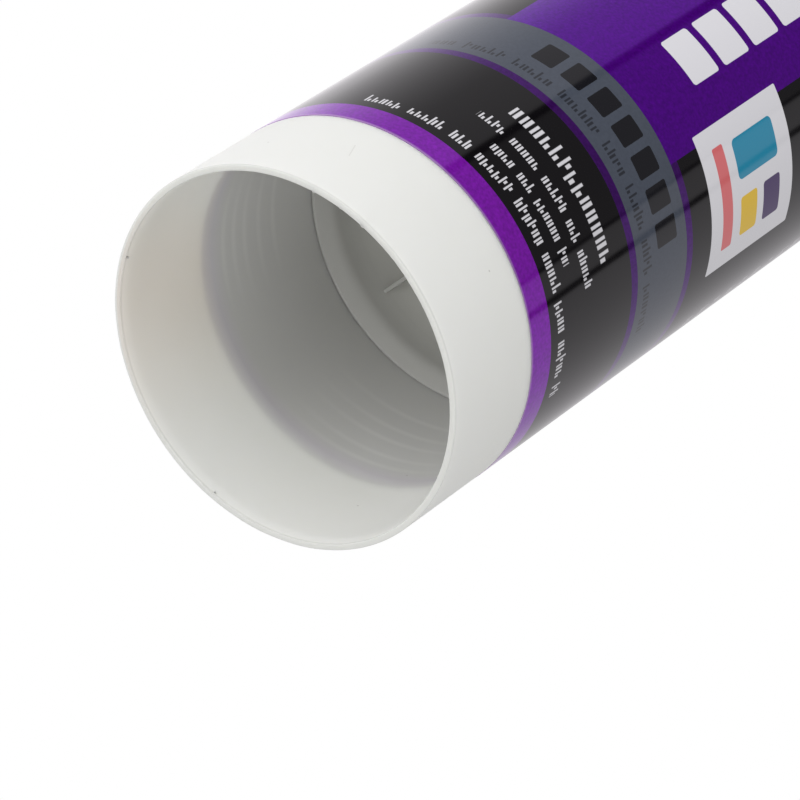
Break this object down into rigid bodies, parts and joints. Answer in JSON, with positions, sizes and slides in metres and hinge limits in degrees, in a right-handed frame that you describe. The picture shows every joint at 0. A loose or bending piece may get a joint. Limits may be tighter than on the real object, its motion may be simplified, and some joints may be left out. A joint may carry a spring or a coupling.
{
  "type": "construction adhesive cartridge",
  "caption": "Round plastic cartridge of construction adhesive with an open rear end, a sliding piston inside, a printed film label and a tapered screw-on nozzle.",
  "frame": {"origin": "centre of the open rear rim, on the plane that the cartridge stands on", "axes": "+Z along the tube from the open rear rim to the nozzle's tip; -Y towards the front of the label"},
  "size_m": [0.05, 0.05, 0.322],
  "materials": {
    "tube_plastic": "satin white polyethylene, slightly see-through to the print",
    "label_film": "glossy printed film in purple, black, grey and white fields",
    "piston_plastic": "satin milky polyethylene",
    "paste": "matt beige paste",
    "nozzle_plastic": "satin milky polyethylene"
  },
  "bodies": {
    "barrel": {"barrel": "tube_plastic", "label": "label_film", "adhesive": "paste"},
    "piston": {"piston": "piston_plastic"},
    "nozzle": {"nozzle": "nozzle_plastic"}
  },
  "joints": [
    {"name": "piston_slide", "type": "slide", "parent": "barrel", "child": "piston", "axis": [0, 0, 1], "range_m": [0, 0.15], "deforming": ["adhesive"]},
    {"name": "nozzle_lift", "type": "slide", "parent": "barrel", "child": "nozzle", "axis": [0, 0, 1], "range_m": [0, 0.04]}
  ]
}
